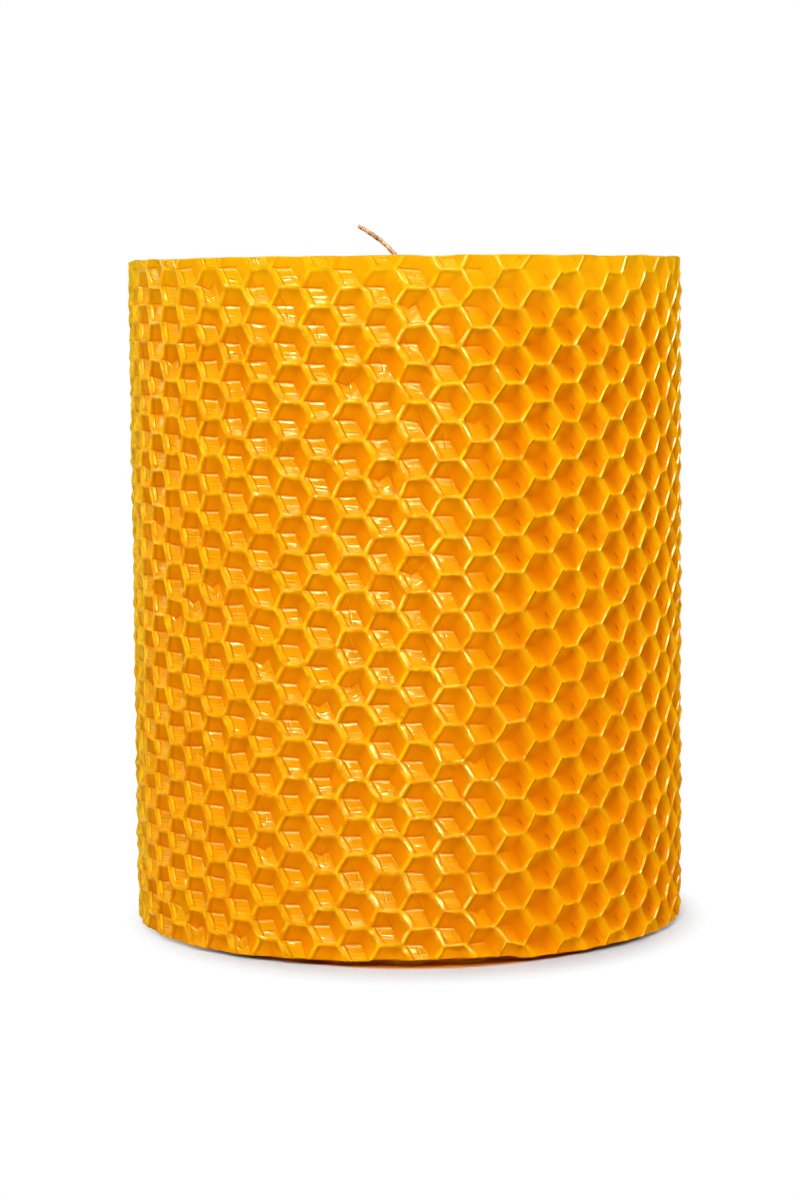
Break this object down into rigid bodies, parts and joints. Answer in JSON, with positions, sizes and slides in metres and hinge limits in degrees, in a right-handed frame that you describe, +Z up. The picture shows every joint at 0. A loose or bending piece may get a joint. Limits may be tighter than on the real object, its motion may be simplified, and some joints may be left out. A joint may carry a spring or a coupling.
{
  "type": "honeycomb candle",
  "caption": "Pillar candle rolled from embossed honeycomb beeswax strips round a thin cotton wick that leans over the top.",
  "frame": {"origin": "on the table, under the middle of the candle's outline", "axes": "+Z up along the wick, -Y towards the front of the picture, +X to its right"},
  "size_m": [0.0838, 0.085, 0.1054],
  "materials": {
    "beeswax": "soft gloss, slightly translucent yellow-orange beeswax",
    "wick_cotton": "matt waxed cotton"
  },
  "bodies": {
    "root": {"wick": "wick_cotton", "wax_strip_1": "beeswax", "wax_strip_2": "beeswax", "wax_strip_3": "beeswax", "wax_strip_4": "beeswax", "wax_strip_5": "beeswax", "wax_strip_6": "beeswax", "outer_wax_strip": "beeswax"}
  },
  "joints": []
}
